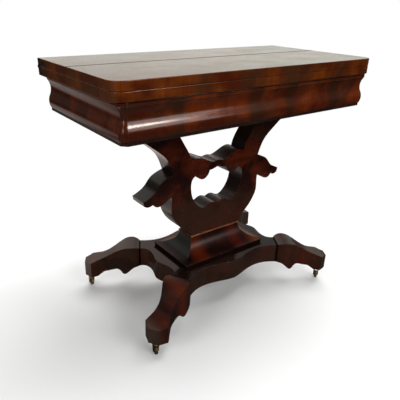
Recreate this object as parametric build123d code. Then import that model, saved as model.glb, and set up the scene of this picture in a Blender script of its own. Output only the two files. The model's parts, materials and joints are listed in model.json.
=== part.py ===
from build123d import *
import math
import os

os.makedirs("parts", exist_ok=True)

# A folding card table on a lyre pedestal. X runs along the front, Y from front to back, Z up.
# The origin is on the floor under the middle of the closed top.

# Overall sizes
TOP_WIDTH = 852.0
TOP_DEPTH = 412.0
TABLE_HEIGHT = 734.0

# Clearances
RUNNING_GAP = 0.3
CUT_OVERRUN = 5.0

# The two leaves
LEAF_THICKNESS = 21.3
LEAF_GAP = 0.4
LEAF_CORNER_RADIUS = 31.0
LEAF_EDGE_ROUND = 1.4
LEAF_BACK_RELIEF = 0.2

# The card-table hinges in the end edges
HINGE_EYE_RADIUS = 4.6
HINGE_PIN_RADIUS = 1.7
HINGE_PLATE_LENGTH = 48.0
HINGE_PLATE_HEIGHT = 11.0
HINGE_PLATE_THICKNESS = 6.0
HINGE_ARM_LENGTH = 9.0
HINGE_ARM_HEIGHT = 6.0
HINGE_SCREW_RADIUS = 1.6
HINGE_SCREW_HEAD_RADIUS = 3.2
HINGE_SCREW_HEAD_HEIGHT = 1.8
HINGE_SCREW_LENGTH = 20.0

# The pivot of the swivelling top
PIVOT_RAIL_WIDTH = 80.0
PIVOT_RAIL_THICKNESS = 28.0
PIVOT_PLATE_RADIUS = 32.0
PIVOT_PLATE_THICKNESS = 4.0
PIVOT_STUD_RADIUS = 7.0
PIVOT_WASHER_RADIUS = 15.0
PIVOT_WASHER_THICKNESS = 2.5
PIVOT_NUT_RADIUS = 12.0
PIVOT_NUT_HEIGHT = 10.0
PIVOT_NUT_SIDES = 6
PIVOT_STUD_TAIL = 4.0
PIVOT_SCREW_CIRCLE = 23.0
PIVOT_SCREW_RADIUS = 2.0
PIVOT_SCREW_HEAD_RADIUS = 4.0
PIVOT_SCREW_HEAD_HEIGHT = 2.2
PIVOT_SCREW_LENGTH = 15.0
PIVOT_SCREW_COUNT = 4
STOP_PEG_RADIUS = 8.0
STOP_PEG_DROP = 14.0
STOP_PEG_SEAT = 12.0

# The frame and its ogee moulding
FRIEZE_HEIGHT = 92.0
FRIEZE_END_INSET = 19.3
FRIEZE_FRONT_INSET = 4.0
FRIEZE_BACK_INSET = 9.5
FRIEZE_CANT = 12.5
FRIEZE_CORNER_DEGREES = 45.0
MOULDING_BACKING = 10.0
OGEE_TOP_FILLET = 9.0
OGEE_COVE_HEIGHT = 41.0
OGEE_BULGE_HEIGHT = 34.0
OGEE_LIP = 4.0
OGEE_COVE_DEPTH = 3.8
OGEE_BULGE_DEPTH = 4.2
FRIEZE_STRIP_SET_BACK = 1.2
RAIL_THICKNESS = 20.0
TAIL_ROOT_WIDTH = 14.0
TAIL_TIP_WIDTH = 20.0
CORNER_BLOCK_LEG = 24.0
CORNER_BLOCK_DROP = 3.0
HOUSING_DEPTH = 10.0
BEARER_THICKNESS = 20.0
WELL_BOARD_THICKNESS = 6.0
BEARER_SCREW_RADIUS = 2.5
BEARER_SCREW_HEAD_RADIUS = 5.0
BEARER_SCREW_HEAD_HEIGHT = 3.0
BEARER_SCREW_LENGTH = 45.0
BEARER_SCREW_SPREAD = 28.0

# The lyre
LYRE_SET_IN = 76.7
LYRE_THICKNESS = 60.0
LYRE_TENON_WIDTH = 120.0
LYRE_TENON_THICKNESS = 26.0
LYRE_TENON_LENGTH = 50.0

# The stepped plinth under the lyre
BEAD_HEIGHT = 4.0
BEAD_PROJECTION = 2.2
PLINTH_NECK_HALF_WIDTH = 95.0
PLINTH_NECK_HALF_DEPTH = 32.0
PLINTH_COVE_HEIGHT = 51.0
PLINTH_COVE_REACH = 59.0
PLINTH_EDGE_HEIGHT = 3.0
PLINTH_BASE_HEIGHT = 9.0
PLINTH_BASE_SET_BACK = 2.5
PLINTH_SCREW_RADIUS = 3.0
PLINTH_SCREW_HEAD_RADIUS = 6.0
PLINTH_SCREW_HEAD_HEIGHT = 3.5
PLINTH_SCREW_BITE = 30.0
PLINTH_SCREW_X = 82.0
PLINTH_SCREW_Y = 22.0

# The platform
PLATFORM_TOP_HEIGHT = 152.0
PLATFORM_THICKNESS = 63.0
PLATFORM_JOINT_REACH = 224.5
PLATFORM_JOINT_WIDTH = 55.0

# The legs
LEG_SPREAD_DEGREES = 31.1
LEG_REACH = 402.0
LEG_WIDTH = 78.0
TOE_END_WIDTH = 30.0
DOWEL_RADIUS = 6.0
DOWEL_LENGTH = 44.0
DOWEL_SPACING = 28.0

# The casters
CASTER_HEIGHT = 53.0
CASTER_SET_IN = 18.0
CASTER_TRAIL = 8.0
WHEEL_RADIUS = 12.0
WHEEL_WIDTH = 8.0
WHEEL_ROUND = 1.6
HUB_RADIUS = 5.0
HUB_DISH_DEPTH = 1.0
AXLE_RADIUS = 2.0
FORK_SIDE_GAP = 1.2
FORK_ARM_THICKNESS = 2.8
FORK_ARM_WIDTH = 8.0
FORK_CROWN_RADIUS = 9.5
FORK_CROWN_THICKNESS = 4.0
PINTLE_RADIUS = 4.0
PINTLE_LENGTH = 24.0
SOCKET_WALL = 2.0
CASTER_PLATE_RADIUS = 13.0
CASTER_PLATE_THICKNESS = 2.5
CASTER_SCREW_CIRCLE = 9.8
CASTER_SCREW_RADIUS = 1.2
CASTER_SCREW_HEAD_RADIUS = 2.2
CASTER_SCREW_HEAD_HEIGHT = 1.2
CASTER_SCREW_LENGTH = 12.0
CASTER_SCREW_COUNT = 3

# Angles, in degrees, at which each fork trails at rest
TRAIL_DEGREES = {"front_left": 74.0, "front_right": 42.0, "back_left": 88.0, "back_right": 66.0}

# Half outline of the lyre: shares of its half width and of its height, one list per stretch
LYRE_OUTLINE_SHARES = [
    [(0, 0.603), (0.024, 0.601), (0.048, 0.596)],
    [(0.048, 0.596), (0.118, 0.616), (0.2, 0.647), (0.236, 0.653), (0.303, 0.637)],
    [(0.303, 0.637), (0.306, 0.65), (0.336, 0.716), (0.373, 0.768), (0.42, 0.835), (0.576, 1)],
    [(0.576, 1), (1, 1)],
    [(1, 1), (0.764, 0.842), (0.636, 0.758), (0.552, 0.687), (0.521, 0.637), (0.491, 0.566)],
    [(0.491, 0.566), (0.545, 0.551), (0.618, 0.516), (0.676, 0.458), (0.73, 0.427), (0.791, 0.405)],
    [(0.791, 0.405), (0.782, 0.371)],
    [(0.782, 0.371), (0.74, 0.356), (0.697, 0.367)],
    [(0.697, 0.367), (0.63, 0.337), (0.573, 0.358), (0.506, 0.387)],
    [(0.506, 0.387), (0.506, 0.313), (0.503, 0.242), (0.485, 0.203), (0.405, 0.108), (0.285, 0.032)],
    [(0.285, 0.032), (0.285, 0)],
]
LYRE_OPENING_SHARES = [
    [(0, 0.555), (0.05, 0.54), (0.097, 0.534)],
    [(0.097, 0.534), (0.124, 0.489), (0.168, 0.471), (0.218, 0.487), (0.255, 0.511)],
    [(0.255, 0.511), (0.288, 0.484), (0.3, 0.42), (0.273, 0.321), (0.218, 0.255), (0.152, 0.226),
     (0.085, 0.25), (0.061, 0.254), (0.03, 0.25), (0, 0.237)],
]

# Side outline of a leg: shares of its run from platform to toe and of the platform's top above the toe
LEG_TOP_SHARES = [
    (0, 1), (0.076, 1.066), (0.155, 1.081), (0.245, 1.063), (0.341, 0.988), (0.454, 0.864),
    (0.566, 0.741), (0.679, 0.642), (0.775, 0.586), (0.865, 0.53), (0.944, 0.492), (1, 0.484),
]
LEG_UNDERSIDE_SHARES = [
    [(0.775, 0), (0.752, 0.02), (0.69, 0.1), (0.639, 0.146), (0.572, 0.167), (0.482, 0.217),
     (0.408, 0.245), (0.358, 0.205), (0.33, 0.14)],
    [(0.33, 0.14), (0.3, 0.098), (0.262, 0.105)],
    [(0.262, 0.105), (0.189, 0.222), (0.12, 0.33), (0.06, 0.364)],
]

# Plan of a leg's flank past its joint: shares of the same run and of half its greatest width
LEG_FLANK_SHARES = [
    (0.076, 0.93), (0.155, 1), (0.245, 0.93), (0.341, 0.79), (0.454, 0.62), (0.566, 0.54),
    (0.679, 0.59), (0.775, 0.71), (0.85, 0.83), (0.882, 0.87),
]

# Serpentine sides of the platform, from a leg joint to the middle: shares of that joint corner's place
PLATFORM_FRONT_SHARES = [(1, 1), (0.843, 0.882), (0.646, 0.817), (0.478, 0.824), (0.247, 0.889)]
PLATFORM_FRONT_MIDDLE_SHARE = 0.953
PLATFORM_END_SHARES = [(1, 1), (0.928, 0.887), (0.906, 0.58), (0.94, 0.29)]
PLATFORM_END_MIDDLE_SHARE = 0.974

# Places of the bearer screws along the top of a lyre arm, and the rails' tails
BEARER_SCREW_SHARES = (0.25, 0.55)
TAIL_PLACE_SHARES = (0.2, 0.5, 0.8)

# Heights worked out from the sizes above
upper_leaf_bottom = TABLE_HEIGHT - LEAF_THICKNESS
lower_leaf_top = upper_leaf_bottom - LEAF_GAP
fold_height = (upper_leaf_bottom + lower_leaf_top) / 2
lower_leaf_bottom = lower_leaf_top - LEAF_THICKNESS
frame_top = lower_leaf_bottom - RUNNING_GAP
frame_bottom = frame_top - FRIEZE_HEIGHT
plinth_base_top = PLATFORM_TOP_HEIGHT + PLINTH_BASE_HEIGHT
plinth_top = plinth_base_top + PLINTH_EDGE_HEIGHT + PLINTH_COVE_HEIGHT
lyre_bottom = plinth_top + BEAD_HEIGHT
lyre_height = frame_bottom - lyre_bottom
platform_bottom = PLATFORM_TOP_HEIGHT - PLATFORM_THICKNESS
caster_reach = LEG_REACH - CASTER_SET_IN

# Frame outline and the core that the mouldings cover
frieze_x = TOP_WIDTH / 2 - FRIEZE_END_INSET
frieze_front = -TOP_DEPTH / 2 + FRIEZE_FRONT_INSET
frieze_back = TOP_DEPTH / 2 - FRIEZE_BACK_INSET
lyre_half_width = frieze_x - LYRE_SET_IN
core_x = frieze_x - MOULDING_BACKING
core_front = frieze_front + MOULDING_BACKING
well_x = core_x - RAIL_THICKNESS
well_front = core_front + RAIL_THICKNESS
well_back = frieze_back - RAIL_THICKNESS

# The swivel's place brings the open top's middle over the pedestal after a quarter turn
pivot_place = TOP_DEPTH / 4
hinge_line_y = TOP_DEPTH / 2
strip_height = FRIEZE_HEIGHT - OGEE_TOP_FILLET - OGEE_COVE_HEIGHT - OGEE_BULGE_HEIGHT


def save(name, *solids):
    """Write the solids of one node to its file."""
    shape = solids[0] if len(solids) == 1 else Compound(children=list(solids))
    export_step(shape, f"parts/{name}.step")


def block(low_x, high_x, low_y, high_y, low_z, high_z):
    """A box between two corners."""
    return Pos((low_x + high_x) / 2, (low_y + high_y) / 2, (low_z + high_z) / 2) * Box(
        high_x - low_x, high_y - low_y, high_z - low_z
    )


def rod(radius, low_z, high_z):
    """A round bar up the Z axis."""
    return Pos(0, 0, (low_z + high_z) / 2) * Cylinder(radius, high_z - low_z)


def stretch(points):
    """One stretch of an outline: straight through two points, curved through more."""
    return Line(*points) if len(points) == 2 else Spline(*points)


def filled(stretches):
    """The face inside a closed run of stretches."""
    return make_face(Curve() + stretches)


def both_sides(stretches, middle=Plane.YZ):
    """A half outline's stretches with their mirror images across the middle plane."""
    return stretches + [mirror(edge, about=middle) for edge in stretches]


def countersunk(radius, head_radius, head_height, length):
    """A wood screw, point down, with the flat of its head at Z = 0."""
    tip_length = radius + radius
    half = Polyline(
        (0, 0),
        (head_radius, 0),
        (radius, -head_height),
        (radius, tip_length - length),
        (0, -length),
        (0, 0),
    )
    return revolve(Plane.XZ * make_face(half), Axis.Z)


def leaf_plan():
    """Plan of a leaf: rounded front corners, square back ones that stop at the hinge line."""
    x, front, back = TOP_WIDTH / 2, -TOP_DEPTH / 2, hinge_line_y - LEAF_BACK_RELIEF
    corner = LEAF_CORNER_RADIUS
    side = Line((x, back), (x, front + corner))
    turn = RadiusArc((x, front + corner), (x - corner, front), corner)
    edge = Line((x - corner, front), (0, front))
    end = Line((0, back), (x, back))
    return filled(both_sides([end, side, turn, edge]))


def leaf(bottom):
    """A leaf with its arrises rounded, before the hinges are let in."""
    slab = Pos(0, 0, bottom) * extrude(leaf_plan(), LEAF_THICKNESS)
    rims = slab.faces().sort_by(Axis.Z)
    return fillet(rims[0].edges() + rims[-1].edges(), LEAF_EDGE_ROUND)


def hinge_side(solid, hand):
    """A solid made for the right end, or its mirror image for the left one."""
    return solid if hand == "right" else mirror(solid, about=Plane.YZ)


def along_fold(radius, start_x, end_x):
    """A round bar along the fold line."""
    bar = Rot(0, 90, 0) * Cylinder(radius, end_x - start_x)
    return Pos((start_x + end_x) / 2, hinge_line_y, fold_height) * bar


def hinge_plate(level, rising):
    """The right-hand hinge plate let into one leaf's end, with its eye on the fold line.

    level is the leaf's mid height; rising is 1 for the upper leaf and -1 for the lower one.
    """
    outer = TOP_WIDTH / 2
    middle = outer - HINGE_PLATE_THICKNESS / 2
    inner = outer - HINGE_PLATE_THICKNESS
    back = hinge_line_y - HINGE_ARM_LENGTH
    slot = SlotOverall(HINGE_PLATE_LENGTH, HINGE_PLATE_HEIGHT)
    plate = extrude(Plane.YZ * slot, HINGE_PLATE_THICKNESS / 2, both=True)
    plate = Pos(middle, back - HINGE_PLATE_LENGTH / 2, level) * plate
    low_x = inner if rising > 0 else middle + RUNNING_GAP / 2
    high_x = middle - RUNNING_GAP / 2 if rising > 0 else outer
    near = fold_height + rising * (LEAF_GAP / 2 + RUNNING_GAP)
    far = near + rising * HINGE_ARM_HEIGHT
    arm = block(
        low_x, high_x, back - HINGE_PLATE_HEIGHT / 2, hinge_line_y, min(near, far), max(near, far)
    )
    eye = along_fold(HINGE_EYE_RADIUS, low_x, high_x)
    plate = plate + arm + eye
    pin_hole = HINGE_PIN_RADIUS + RUNNING_GAP if rising > 0 else HINGE_PIN_RADIUS
    return plate - along_fold(pin_hole, inner - CUT_OVERRUN, outer + CUT_OVERRUN)


def hinge_notch():
    """The room that both eyes turn in, at the right back corner of a leaf."""
    inner = TOP_WIDTH / 2 - HINGE_PLATE_THICKNESS - RUNNING_GAP
    return along_fold(HINGE_EYE_RADIUS + RUNNING_GAP, inner, TOP_WIDTH / 2 + CUT_OVERRUN)


def hinge_screws(level):
    """The two screws of a right-hand plate, driven into the leaf's end."""
    back = hinge_line_y - HINGE_ARM_LENGTH
    inset = HINGE_PLATE_HEIGHT / 2
    screw = Rot(0, 90, 0) * countersunk(
        HINGE_SCREW_RADIUS, HINGE_SCREW_HEAD_RADIUS, HINGE_SCREW_HEAD_HEIGHT, HINGE_SCREW_LENGTH
    )
    places = (back - inset - inset, back - HINGE_PLATE_LENGTH + inset + inset)
    return [Pos(TOP_WIDTH / 2, y, level) * screw for y in places]


def pivot_screws():
    """Four screws that hold the pivot plate up under the lower leaf."""
    screw = Rot(180, 0, 0) * countersunk(
        PIVOT_SCREW_RADIUS, PIVOT_SCREW_HEAD_RADIUS, PIVOT_SCREW_HEAD_HEIGHT, PIVOT_SCREW_LENGTH
    )
    spots = PolarLocations(PIVOT_SCREW_CIRCLE, PIVOT_SCREW_COUNT, start_angle=180 / PIVOT_SCREW_COUNT)
    return [at_pivot(lower_leaf_bottom) * spot * screw for spot in spots]


def at_pivot(height):
    """A place on the swivel axis."""
    return Pos(pivot_place, pivot_place, height)


def pivot_stud():
    """The iron plate let into the lower leaf and the stud that hangs from it through the rail."""
    plate = rod(PIVOT_PLATE_RADIUS, 0, PIVOT_PLATE_THICKNESS)
    drop = (
        RUNNING_GAP + PIVOT_RAIL_THICKNESS + RUNNING_GAP
        + PIVOT_WASHER_THICKNESS + PIVOT_NUT_HEIGHT + PIVOT_STUD_TAIL
    )
    return at_pivot(lower_leaf_bottom) * (plate + rod(PIVOT_STUD_RADIUS, -drop, 0))


def stop_peg():
    """The peg that meets the back rail at rest and the front rail after a quarter turn."""
    reach = pivot_place - (well_front + RUNNING_GAP + STOP_PEG_RADIUS)
    y = well_back - RUNNING_GAP - STOP_PEG_RADIUS
    peg = rod(STOP_PEG_RADIUS, -STOP_PEG_DROP, STOP_PEG_SEAT)
    return Pos(pivot_place - reach, y, lower_leaf_bottom) * peg


def build_top():
    """Both leaves, their hinges, the pivot and the stop."""
    upper, lower = leaf(upper_leaf_bottom), leaf(lower_leaf_bottom)
    upper_mid = upper_leaf_bottom + LEAF_THICKNESS / 2
    lower_mid = lower_leaf_bottom + LEAF_THICKNESS / 2
    pins, upper_screws, lower_screws = [], [], []
    for hand in ("left", "right"):
        notch = hinge_side(hinge_notch(), hand)
        high, low = hinge_plate(upper_mid, 1), hinge_plate(lower_mid, -1)
        high_set, low_set = hinge_screws(upper_mid), hinge_screws(lower_mid)
        upper = upper - hinge_side(high, hand) - notch
        lower = lower - hinge_side(low, hand) - notch
        for screw in high_set:
            high = high - screw
            upper = upper - hinge_side(screw, hand)
            upper_screws.append(hinge_side(screw, hand))
        for screw in low_set:
            low = low - screw
            lower = lower - hinge_side(screw, hand)
            lower_screws.append(hinge_side(screw, hand))
        save(f"hinge_plate_upper_{hand}", hinge_side(high, hand))
        save(f"hinge_plate_lower_{hand}", hinge_side(low, hand))
        pin = along_fold(HINGE_PIN_RADIUS, TOP_WIDTH / 2 - HINGE_PLATE_THICKNESS, TOP_WIDTH / 2)
        pins.append(hinge_side(pin, hand))
    save("hinge_pins", *pins)
    save("hinge_screws_upper", *upper_screws)
    save("hinge_screws_lower", *lower_screws)
    stud, peg = pivot_stud(), stop_peg()
    lower = lower - stud - peg
    for screw in pivot_screws():
        stud = stud - screw
        lower = lower - screw
    washer_top = frame_top - PIVOT_RAIL_THICKNESS - RUNNING_GAP
    nut_top = washer_top - PIVOT_WASHER_THICKNESS
    washer = at_pivot(0) * rod(PIVOT_WASHER_RADIUS, nut_top, washer_top)
    nut = at_pivot(nut_top - PIVOT_NUT_HEIGHT) * extrude(
        RegularPolygon(PIVOT_NUT_RADIUS, PIVOT_NUT_SIDES), PIVOT_NUT_HEIGHT
    )
    bare_stud = at_pivot(0) * rod(PIVOT_STUD_RADIUS, nut_top - PIVOT_NUT_HEIGHT - CUT_OVERRUN, frame_top)
    save("pivot_stud", stud)
    save("pivot_plate_screws", *pivot_screws())
    save("pivot_washer", washer - bare_stud)
    save("pivot_nut", nut - bare_stud)
    save("stop_peg", peg)
    save("leaf_upper", upper)
    save("leaf_lower", lower)


def ogee_face():
    """Section of the moulding: X outward from the frieze face, Y up from the top of the strip."""
    top = OGEE_BULGE_HEIGHT + OGEE_COVE_HEIGHT + OGEE_TOP_FILLET
    turn = OGEE_BULGE_HEIGHT
    lip = OGEE_BULGE_HEIGHT + OGEE_COVE_HEIGHT
    bulge = ThreePointArc((0, 0), (OGEE_BULGE_DEPTH, turn / 2), (0, turn))
    cove_middle = (-OGEE_COVE_DEPTH, (turn + lip) / 2)
    cove = ThreePointArc((0, turn), cove_middle, (OGEE_LIP, lip))
    fillet_line = Line((OGEE_LIP, lip), (OGEE_LIP, top))
    deep = -MOULDING_BACKING
    rest = Polyline((OGEE_LIP, top), (deep, top), (deep, 0), (0, 0))
    return filled([bulge, cove, fillet_line, rest])


def strip_face():
    """Section of the dark strip under the ogee."""
    low = -strip_height
    edge = -FRIEZE_STRIP_SET_BACK
    deep = -MOULDING_BACKING
    return make_face(Polyline((edge, low), (edge, 0), (deep, 0), (deep, low), (edge, low)))


def run_of(section, start, end, level, mitre_start, mitre_end):
    """A moulding with its section square to the run from start to end, cut at the mitres.

    The outside is on the right of the run. A mitre is the angle between the cut and a square
    end, in degrees, positive where the inner side is the shorter one.
    """
    run = Vector(*end, 0) - Vector(*start, 0)
    out = run.cross(Vector(0, 0, 1)).normalized()
    reach = 2 * MOULDING_BACKING
    first = Vector(*start, level) - run.normalized() * reach
    bar = extrude(Plane(first, x_dir=out, z_dir=-run) * section, -(run.length + 2 * reach))
    for place, angle, way in ((start, mitre_start, -1), (end, mitre_end, 1)):
        normal = (run.normalized() * way).rotate(Axis.Z, way * angle)
        bar = split(bar, Plane(Vector(*place, level), z_dir=normal), keep=Keep.BOTTOM)
    return bar


def frieze_pieces():
    """The moulded faces: name, start, end and the mitres at both, front corners canted."""
    cant_x, cant_y = frieze_x - FRIEZE_CANT, frieze_front + FRIEZE_CANT
    front_left, front_right = (-cant_x, frieze_front), (cant_x, frieze_front)
    end_left, end_right = (-frieze_x, cant_y), (frieze_x, cant_y)
    mitre = FRIEZE_CORNER_DEGREES / 2
    return [
        ("front", front_left, front_right, mitre, mitre),
        ("corner_right", front_right, end_right, mitre, mitre),
        ("right", end_right, (frieze_x, frieze_back), mitre, 0),
        ("left", (-frieze_x, frieze_back), end_left, 0, mitre),
        ("corner_left", end_left, front_left, mitre, mitre),
    ]


def core_block():
    """The solid outline of the rail frame, used to trim what is glued over it."""
    return block(-core_x, core_x, core_front, frieze_back, frame_bottom, frame_top)


def build_mouldings():
    """The ogee mouldings round three sides and the dark strip under them."""
    level = frame_bottom + strip_height
    core = core_block()
    strips = []
    for name, start, end, first, second in frieze_pieces():
        ogee = run_of(ogee_face(), start, end, level, first, second)
        strips.append(run_of(strip_face(), start, end, level, first, second) - core)
        save(f"ogee_{name}", ogee - core)
    save("frieze_strips", *strips)


def tails():
    """The dovetails at all four corners, cut on the ends of the end rails."""
    made = []
    for share in TAIL_PLACE_SHARES:
        z = frame_bottom + share * FRIEZE_HEIGHT
        root, tip = TAIL_ROOT_WIDTH / 2, TAIL_TIP_WIDTH / 2
        for inner, outer in ((well_front, core_front), (well_back, frieze_back)):
            shape = make_face(
                Polyline(
                    (inner, z - root), (outer, z - tip), (outer, z + tip), (inner, z + root),
                    (inner, z - root),
                )
            )
            tail = extrude(Plane.YZ * shape, RAIL_THICKNESS)
            made += [Pos(well_x, 0, 0) * tail, Pos(-core_x, 0, 0) * tail]
    return made


def bearer_centre():
    """The middle of a lyre arm's top, from X = 0."""
    inner_share = LYRE_OUTLINE_SHARES[3][0][0]
    return lyre_half_width * (1 + inner_share) / 2


def bearer(side):
    """A cross board between the rails, over one arm of the lyre."""
    inner_share = LYRE_OUTLINE_SHARES[3][0][0]
    half = lyre_half_width * (1 - inner_share) / 2
    middle = side * bearer_centre()
    return block(
        middle - half, middle + half, well_front - HOUSING_DEPTH, well_back + HOUSING_DEPTH,
        frame_bottom, frame_bottom + BEARER_THICKNESS,
    )


def bearer_screws(side):
    """Four screws down through a bearer into the lyre arm."""
    inner_share = LYRE_OUTLINE_SHARES[3][0][0]
    inner = lyre_half_width * inner_share
    width = lyre_half_width - inner
    screw = countersunk(
        BEARER_SCREW_RADIUS, BEARER_SCREW_HEAD_RADIUS, BEARER_SCREW_HEAD_HEIGHT, BEARER_SCREW_LENGTH
    )
    top = frame_bottom + BEARER_THICKNESS
    return [
        Pos(side * (inner + share * width), y, top) * screw
        for share in BEARER_SCREW_SHARES
        for y in (-BEARER_SCREW_SPREAD / 2, BEARER_SCREW_SPREAD / 2)
    ]


def pivot_rail():
    """The cross rail that carries the swivel, housed flush into the front and back rails."""
    half = PIVOT_RAIL_WIDTH / 2
    bar = block(
        pivot_place - half, pivot_place + half, well_front - HOUSING_DEPTH, well_back + HOUSING_DEPTH,
        frame_top - PIVOT_RAIL_THICKNESS, frame_top,
    )
    hole = rod(PIVOT_STUD_RADIUS + RUNNING_GAP, frame_bottom, frame_top + CUT_OVERRUN)
    return bar, bar - at_pivot(0) * hole


def build_frame():
    """The dovetailed rails and what is fixed between them."""
    rail_front = block(-core_x, core_x, core_front, well_front, frame_bottom, frame_top)
    rail_back = block(-core_x, core_x, well_back, frieze_back, frame_bottom, frame_top)
    rail_right = block(well_x, core_x, well_front, well_back, frame_bottom, frame_top)
    rail_left = block(-core_x, -well_x, well_front, well_back, frame_bottom, frame_top)
    for tail in tails():
        centre = tail.center()
        rail_front, rail_back = rail_front - tail, rail_back - tail
        if centre.X > 0:
            rail_right = rail_right + tail
        else:
            rail_left = rail_left + tail
    housing, drilled_rail = pivot_rail()
    bearers = {"left": bearer(-1), "right": bearer(1)}
    for housed in (housing, *bearers.values()):
        rail_front, rail_back = rail_front - housed, rail_back - housed
    screws = []
    for hand, side in (("left", -1), ("right", 1)):
        board = bearers[hand]
        for screw in bearer_screws(side):
            board = board - screw
            screws.append(screw)
        save(f"bearer_{hand}", board)
    save("frame_rail_front", rail_front)
    save("frame_rail_back", rail_back)
    save("frame_rail_left", rail_left)
    save("frame_rail_right", rail_right)
    save("pivot_rail", drilled_rail)
    save("bearer_screws", *screws)
    board_bottom = frame_bottom + BEARER_THICKNESS
    board_top = board_bottom + WELL_BOARD_THICKNESS
    save("well_board", block(-well_x, well_x, well_front, well_back, board_bottom, board_top))
    leg = CORNER_BLOCK_LEG
    wedge = make_face(Polyline((0, 0), (leg, 0), (0, leg), (0, 0)))
    wedge = extrude(wedge, frame_top - CORNER_BLOCK_DROP - board_top)
    corners = (
        (-well_x, well_front, 0), (well_x, well_front, 90),
        (well_x, well_back, 180), (-well_x, well_back, 270),
    )
    save("corner_blocks", *[Pos(x, y, board_top) * Rot(0, 0, turn) * wedge for x, y, turn in corners])


def from_shares(shares, width, height, base):
    """Points at shares of a width and of a height above a base."""
    return [(width * across, base + height * up) for across, up in shares]


def lyre_body():
    """The scroll-cut lyre with its opening and the tenon under it."""
    outline = [
        stretch(from_shares(part, lyre_half_width, lyre_height, lyre_bottom))
        for part in LYRE_OUTLINE_SHARES
    ]
    foot_x = lyre_half_width * LYRE_OUTLINE_SHARES[-1][-1][0]
    outline.append(Line((foot_x, lyre_bottom), (0, lyre_bottom)))
    opening = [
        stretch(from_shares(part, lyre_half_width, lyre_height, lyre_bottom))
        for part in LYRE_OPENING_SHARES
    ]
    face = filled(both_sides(outline)) - filled(both_sides(opening))
    body = extrude(Plane.XZ * face, LYRE_THICKNESS / 2, both=True)
    return body + lyre_tenon()


def lyre_tenon():
    """The tenon that stands in the plinth."""
    half_x, half_y = LYRE_TENON_WIDTH / 2, LYRE_TENON_THICKNESS / 2
    return block(-half_x, half_x, -half_y, half_y, lyre_bottom - LYRE_TENON_LENGTH, lyre_bottom)


def cove_section(neck):
    """Half section of the plinth: neck at the top, a hollow out to the foot, mirrored across X = 0."""
    foot = neck + PLINTH_COVE_REACH
    edge_top = plinth_base_top + PLINTH_EDGE_HEIGHT
    slope = math.sqrt(0.5)
    middle = (foot - PLINTH_COVE_REACH * slope, plinth_top - PLINTH_COVE_HEIGHT * slope)
    hollow = Spline(
        (neck, plinth_top), middle, (foot, edge_top), tangents=[(0, -1), (1, 0)],
    )
    sides = [
        Line((0, plinth_top), (neck, plinth_top)),
        hollow,
        Line((foot, edge_top), (foot, plinth_base_top)),
        Line((foot, plinth_base_top), (0, plinth_base_top)),
    ]
    return filled(both_sides(sides))


def plinth_screws():
    """Four long screws up through the platform into the plinth."""
    length = PLATFORM_THICKNESS + PLINTH_BASE_HEIGHT + PLINTH_SCREW_BITE
    screw = Rot(180, 0, 0) * countersunk(
        PLINTH_SCREW_RADIUS, PLINTH_SCREW_HEAD_RADIUS, PLINTH_SCREW_HEAD_HEIGHT, length
    )
    return [
        Pos(x, y, platform_bottom) * screw
        for x in (-PLINTH_SCREW_X, PLINTH_SCREW_X)
        for y in (-PLINTH_SCREW_Y, PLINTH_SCREW_Y)
    ]


def build_plinth():
    """The bead, the hollow-sided plinth and its dark base, all mortised for the lyre."""
    half_x, half_y = PLINTH_NECK_HALF_WIDTH, PLINTH_NECK_HALF_DEPTH
    foot_x, foot_y = half_x + PLINTH_COVE_REACH, half_y + PLINTH_COVE_REACH
    tenon = lyre_tenon()
    across = extrude(Plane.XZ * cove_section(half_x), foot_y, both=True)
    along = extrude(Plane.YZ * cove_section(half_y), foot_x, both=True)
    plinth = (across & along) - tenon
    bead = block(
        -half_x - BEAD_PROJECTION, half_x + BEAD_PROJECTION,
        -half_y - BEAD_PROJECTION, half_y + BEAD_PROJECTION, plinth_top, lyre_bottom,
    )
    rims = bead.faces().sort_by(Axis.Z)
    bead = fillet(rims[0].edges() + rims[-1].edges(), BEAD_HEIGHT / 2 - RUNNING_GAP / 2) - tenon
    base_x, base_y = foot_x - PLINTH_BASE_SET_BACK, foot_y - PLINTH_BASE_SET_BACK
    base = block(-base_x, base_x, -base_y, base_y, PLATFORM_TOP_HEIGHT, plinth_base_top)
    for screw in plinth_screws():
        plinth, base = plinth - screw, base - screw
    save("plinth_bead", bead)
    save("plinth", plinth)
    save("plinth_base", base)
    save("plinth_screws", *plinth_screws())


def leg_turns():
    """Each leg's name and its direction from above, in degrees."""
    spread = LEG_SPREAD_DEGREES
    return {
        "front_left": 180 + spread, "front_right": -spread,
        "back_left": 180 - spread, "back_right": spread,
    }


def platform_plan():
    """The platform's serpentine plan with its four canted corners."""
    turn = Rot(0, 0, LEG_SPREAD_DEGREES)
    half = PLATFORM_JOINT_WIDTH / 2
    side_corner = (turn * Pos(PLATFORM_JOINT_REACH, half, 0)).position
    end_corner = (turn * Pos(PLATFORM_JOINT_REACH, -half, 0)).position
    long_half = [(side_corner.X * across, side_corner.Y * up) for across, up in PLATFORM_FRONT_SHARES]
    long_middle = [(0, side_corner.Y * PLATFORM_FRONT_MIDDLE_SHARE)]
    long_side = long_half + long_middle + [(-x, y) for x, y in reversed(long_half)]
    end_half = [(end_corner.X * across, end_corner.Y * up) for across, up in PLATFORM_END_SHARES]
    end_middle = [(end_corner.X * PLATFORM_END_MIDDLE_SHARE, 0)]
    end_side = end_half + end_middle + [(x, -y) for x, y in reversed(end_half)]
    edges = [
        Spline(*long_side), Spline(*[(x, -y) for x, y in long_side]),
        Spline(*end_side), Spline(*[(-x, y) for x, y in end_side]),
    ]
    for x_way in (-1, 1):
        for y_way in (-1, 1):
            long_end = (x_way * side_corner.X, y_way * side_corner.Y)
            short_end = (x_way * end_corner.X, y_way * end_corner.Y)
            edges.append(Line(long_end, short_end))
    return filled(edges)


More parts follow.
